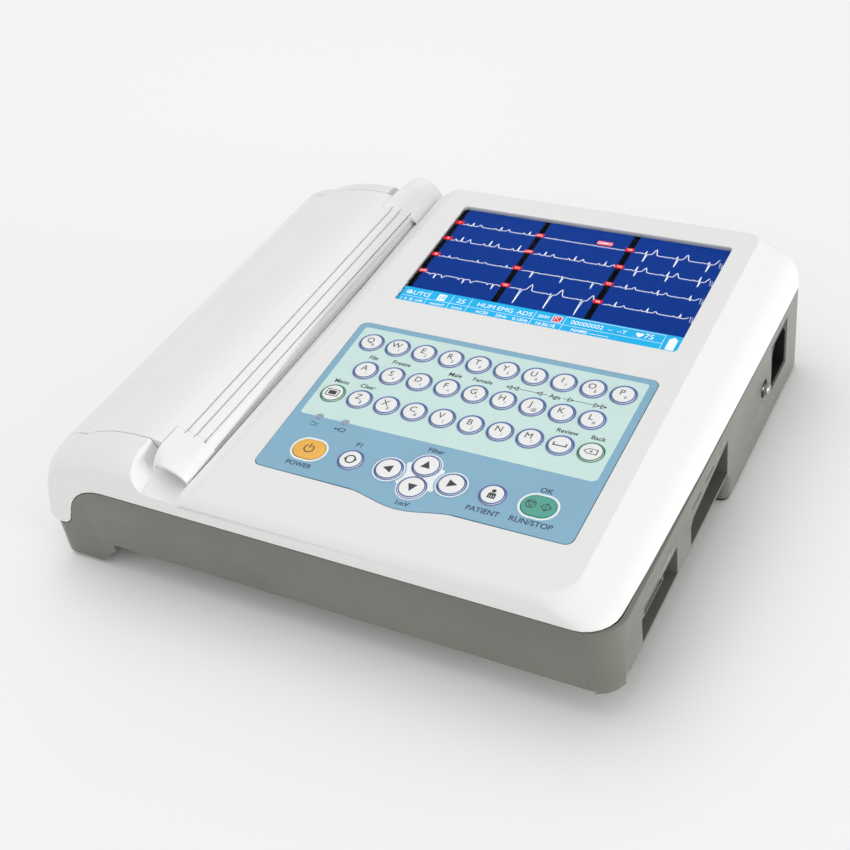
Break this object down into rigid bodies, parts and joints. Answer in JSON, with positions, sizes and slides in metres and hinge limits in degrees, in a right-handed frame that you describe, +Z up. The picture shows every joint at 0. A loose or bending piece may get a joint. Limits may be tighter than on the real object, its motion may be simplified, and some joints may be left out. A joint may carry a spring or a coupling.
{
  "type": "table-top ecg machine",
  "caption": "Table-top ECG machine: white upper housing with tilted display and letter keypad, hinged printer door over a paper roll, grey base with side sockets.",
  "frame": {"origin": "middle of the overall box, on the surface the feet stand on", "axes": "+X to the right, from the printer door to the sockets; +Y to the rear, from the function keys to the display; +Z up"},
  "size_m": [0.307, 0.275, 0.0772],
  "materials": {
    "white_housing": "fine matt moulded texture",
    "grey_base": "fine matt moulded texture",
    "black_rubber": "matt",
    "steel": "turned and stamped steel",
    "black_plastic": "satin",
    "circuit_board": "solder-mask green",
    "paper": "thermal paper",
    "nylon_gear": "natural nylon",
    "screen_glass": "glossy",
    "lcd": "lit panel",
    "keypad_film": "printed polyester film",
    "key_white": "satin",
    "key_orange": "satin",
    "key_green": "satin",
    "battery_wrap": "heat-shrink film"
  },
  "bodies": {
    "machine": {"bottom_housing": "grey_base", "top_housing": "white_housing", "display_window": "screen_glass", "lcd_panel": "lcd", "keypad_overlay": "keypad_film", "main_board": "circuit_board", "power_supply": "circuit_board", "battery_pack": "battery_wrap", "battery_cover": "grey_base", "ac_inlet": "black_plastic", "ground_stud": "steel", "patient_socket": "steel", "foot_front_left": "black_rubber", "foot_front_right": "black_rubber", "foot_rear_left": "black_rubber", "foot_rear_right": "black_rubber", "drive_motor": "steel", "print_head": "black_plastic"},
    "door": {"printer_door": "white_housing"},
    "platen": {"platen_roller": "black_rubber", "platen_gear": "nylon_gear"},
    "pinion": {"motor_pinion": "nylon_gear"},
    "paper": {"paper_roll": "paper"},
    "key_q": {"key_q": "key_white"},
    "key_w": {"key_w": "key_white"},
    "key_e": {"key_e": "key_white"},
    "key_r": {"key_r": "key_white"},
    "key_t": {"key_t": "key_white"},
    "key_y": {"key_y": "key_white"},
    "key_u": {"key_u": "key_white"},
    "key_i": {"key_i": "key_white"},
    "key_o": {"key_o": "key_white"},
    "key_p": {"key_p": "key_white"},
    "key_a": {"key_a": "key_white"},
    "key_s": {"key_s": "key_white"},
    "key_d": {"key_d": "key_white"},
    "key_f": {"key_f": "key_white"},
    "key_g": {"key_g": "key_white"},
    "key_h": {"key_h": "key_white"},
    "key_j": {"key_j": "key_white"},
    "key_k": {"key_k": "key_white"},
    "key_l": {"key_l": "key_white"},
    "key_z": {"key_z": "key_white"},
    "key_x": {"key_x": "key_white"},
    "key_c": {"key_c": "key_white"},
    "key_v": {"key_v": "key_white"},
    "key_b": {"key_b": "key_white"},
    "key_n": {"key_n": "key_white"},
    "key_m": {"key_m": "key_white"},
    "key_menu": {"key_menu": "key_white"},
    "key_space": {"key_space": "key_white"},
    "key_back": {"key_back": "key_white"},
    "key_power": {"key_power": "key_orange"},
    "key_f1": {"key_f1": "key_white"},
    "key_left": {"key_left": "key_white"},
    "key_up": {"key_up": "key_white"},
    "key_down": {"key_down": "key_white"},
    "key_right": {"key_right": "key_white"},
    "key_patient": {"key_patient": "key_white"},
    "key_run": {"key_run": "key_green"}
  },
  "joints": [
    {"name": "door_hinge", "type": "hinge", "parent": "machine", "child": "door", "pos_m": [-0.146, 0, 0.0305], "axis": [0, -1, 0], "range_deg": [0, 88]},
    {"name": "platen_spin", "type": "hinge", "parent": "door", "child": "platen", "pos_m": [-0.0787, 0, 0.056], "axis": [0, 1, 0], "continuous": true},
    {"name": "pinion_spin", "type": "hinge", "parent": "machine", "child": "pinion", "pos_m": [-0.073, 0.10325, 0.04094], "axis": [0, 1, 0], "continuous": true},
    {"name": "paper_roll_spin", "type": "hinge", "parent": "machine", "child": "paper", "pos_m": [-0.1115, 0, 0.0385], "axis": [0, 1, 0], "continuous": true},
    {"name": "press_q", "type": "slide", "parent": "machine", "child": "key_q", "axis": [0, 0.0523, -0.9986], "range_m": [0, 0.0005], "stiffness_N_per_m": 500},
    {"name": "press_w", "type": "slide", "parent": "machine", "child": "key_w", "axis": [0, 0.0523, -0.9986], "range_m": [0, 0.0005], "stiffness_N_per_m": 500},
    {"name": "press_e", "type": "slide", "parent": "machine", "child": "key_e", "axis": [0, 0.0523, -0.9986], "range_m": [0, 0.0005], "stiffness_N_per_m": 500},
    {"name": "press_r", "type": "slide", "parent": "machine", "child": "key_r", "axis": [0, 0.0523, -0.9986], "range_m": [0, 0.0005], "stiffness_N_per_m": 500},
    {"name": "press_t", "type": "slide", "parent": "machine", "child": "key_t", "axis": [0, 0.0523, -0.9986], "range_m": [0, 0.0005], "stiffness_N_per_m": 500},
    {"name": "press_y", "type": "slide", "parent": "machine", "child": "key_y", "axis": [0, 0.0523, -0.9986], "range_m": [0, 0.0005], "stiffness_N_per_m": 500},
    {"name": "press_u", "type": "slide", "parent": "machine", "child": "key_u", "axis": [0, 0.0523, -0.9986], "range_m": [0, 0.0005], "stiffness_N_per_m": 500},
    {"name": "press_i", "type": "slide", "parent": "machine", "child": "key_i", "axis": [0, 0.0523, -0.9986], "range_m": [0, 0.0005], "stiffness_N_per_m": 500},
    {"name": "press_o", "type": "slide", "parent": "machine", "child": "key_o", "axis": [0, 0.0523, -0.9986], "range_m": [0, 0.0005], "stiffness_N_per_m": 500},
    {"name": "press_p", "type": "slide", "parent": "machine", "child": "key_p", "axis": [0, 0.0523, -0.9986], "range_m": [0, 0.0005], "stiffness_N_per_m": 500},
    {"name": "press_a", "type": "slide", "parent": "machine", "child": "key_a", "axis": [0, 0.0523, -0.9986], "range_m": [0, 0.0005], "stiffness_N_per_m": 500},
    {"name": "press_s", "type": "slide", "parent": "machine", "child": "key_s", "axis": [0, 0.0523, -0.9986], "range_m": [0, 0.0005], "stiffness_N_per_m": 500},
    {"name": "press_d", "type": "slide", "parent": "machine", "child": "key_d", "axis": [0, 0.0523, -0.9986], "range_m": [0, 0.0005], "stiffness_N_per_m": 500},
    {"name": "press_f", "type": "slide", "parent": "machine", "child": "key_f", "axis": [0, 0.0523, -0.9986], "range_m": [0, 0.0005], "stiffness_N_per_m": 500},
    {"name": "press_g", "type": "slide", "parent": "machine", "child": "key_g", "axis": [0, 0.0523, -0.9986], "range_m": [0, 0.0005], "stiffness_N_per_m": 500},
    {"name": "press_h", "type": "slide", "parent": "machine", "child": "key_h", "axis": [0, 0.0523, -0.9986], "range_m": [0, 0.0005], "stiffness_N_per_m": 500},
    {"name": "press_j", "type": "slide", "parent": "machine", "child": "key_j", "axis": [0, 0.0523, -0.9986], "range_m": [0, 0.0005], "stiffness_N_per_m": 500},
    {"name": "press_k", "type": "slide", "parent": "machine", "child": "key_k", "axis": [0, 0.0523, -0.9986], "range_m": [0, 0.0005], "stiffness_N_per_m": 500},
    {"name": "press_l", "type": "slide", "parent": "machine", "child": "key_l", "axis": [0, 0.0523, -0.9986], "range_m": [0, 0.0005], "stiffness_N_per_m": 500},
    {"name": "press_z", "type": "slide", "parent": "machine", "child": "key_z", "axis": [0, 0.0523, -0.9986], "range_m": [0, 0.0005], "stiffness_N_per_m": 500},
    {"name": "press_x", "type": "slide", "parent": "machine", "child": "key_x", "axis": [0, 0.0523, -0.9986], "range_m": [0, 0.0005], "stiffness_N_per_m": 500},
    {"name": "press_c", "type": "slide", "parent": "machine", "child": "key_c", "axis": [0, 0.0523, -0.9986], "range_m": [0, 0.0005], "stiffness_N_per_m": 500},
    {"name": "press_v", "type": "slide", "parent": "machine", "child": "key_v", "axis": [0, 0.0523, -0.9986], "range_m": [0, 0.0005], "stiffness_N_per_m": 500},
    {"name": "press_b", "type": "slide", "parent": "machine", "child": "key_b", "axis": [0, 0.0523, -0.9986], "range_m": [0, 0.0005], "stiffness_N_per_m": 500},
    {"name": "press_n", "type": "slide", "parent": "machine", "child": "key_n", "axis": [0, 0.0523, -0.9986], "range_m": [0, 0.0005], "stiffness_N_per_m": 500},
    {"name": "press_m", "type": "slide", "parent": "machine", "child": "key_m", "axis": [0, 0.0523, -0.9986], "range_m": [0, 0.0005], "stiffness_N_per_m": 500},
    {"name": "press_menu", "type": "slide", "parent": "machine", "child": "key_menu", "axis": [0, 0.0523, -0.9986], "range_m": [0, 0.0005], "stiffness_N_per_m": 500},
    {"name": "press_space", "type": "slide", "parent": "machine", "child": "key_space", "axis": [0, 0.0523, -0.9986], "range_m": [0, 0.0005], "stiffness_N_per_m": 500},
    {"name": "press_back", "type": "slide", "parent": "machine", "child": "key_back", "axis": [0, 0.0523, -0.9986], "range_m": [0, 0.0005], "stiffness_N_per_m": 500},
    {"name": "press_power", "type": "slide", "parent": "machine", "child": "key_power", "axis": [0, 0.0523, -0.9986], "range_m": [0, 0.0005], "stiffness_N_per_m": 500},
    {"name": "press_f1", "type": "slide", "parent": "machine", "child": "key_f1", "axis": [0, 0.0523, -0.9986], "range_m": [0, 0.0005], "stiffness_N_per_m": 500},
    {"name": "press_left", "type": "slide", "parent": "machine", "child": "key_left", "axis": [0, 0.0523, -0.9986], "range_m": [0, 0.0005], "stiffness_N_per_m": 500},
    {"name": "press_up", "type": "slide", "parent": "machine", "child": "key_up", "axis": [0, 0.0523, -0.9986], "range_m": [0, 0.0005], "stiffness_N_per_m": 500},
    {"name": "press_down", "type": "slide", "parent": "machine", "child": "key_down", "axis": [0, 0.0523, -0.9986], "range_m": [0, 0.0005], "stiffness_N_per_m": 500},
    {"name": "press_right", "type": "slide", "parent": "machine", "child": "key_right", "axis": [0, 0.0523, -0.9986], "range_m": [0, 0.0005], "stiffness_N_per_m": 500},
    {"name": "press_patient", "type": "slide", "parent": "machine", "child": "key_patient", "axis": [0, 0.0523, -0.9986], "range_m": [0, 0.0005], "stiffness_N_per_m": 500},
    {"name": "press_run", "type": "slide", "parent": "machine", "child": "key_run", "axis": [0, 0.0523, -0.9986], "range_m": [0, 0.0005], "stiffness_N_per_m": 500}
  ],
  "couplings": [
    {"joint": "pinion_spin", "follows": "platen_spin", "ratio": -1.2857}
  ]
}
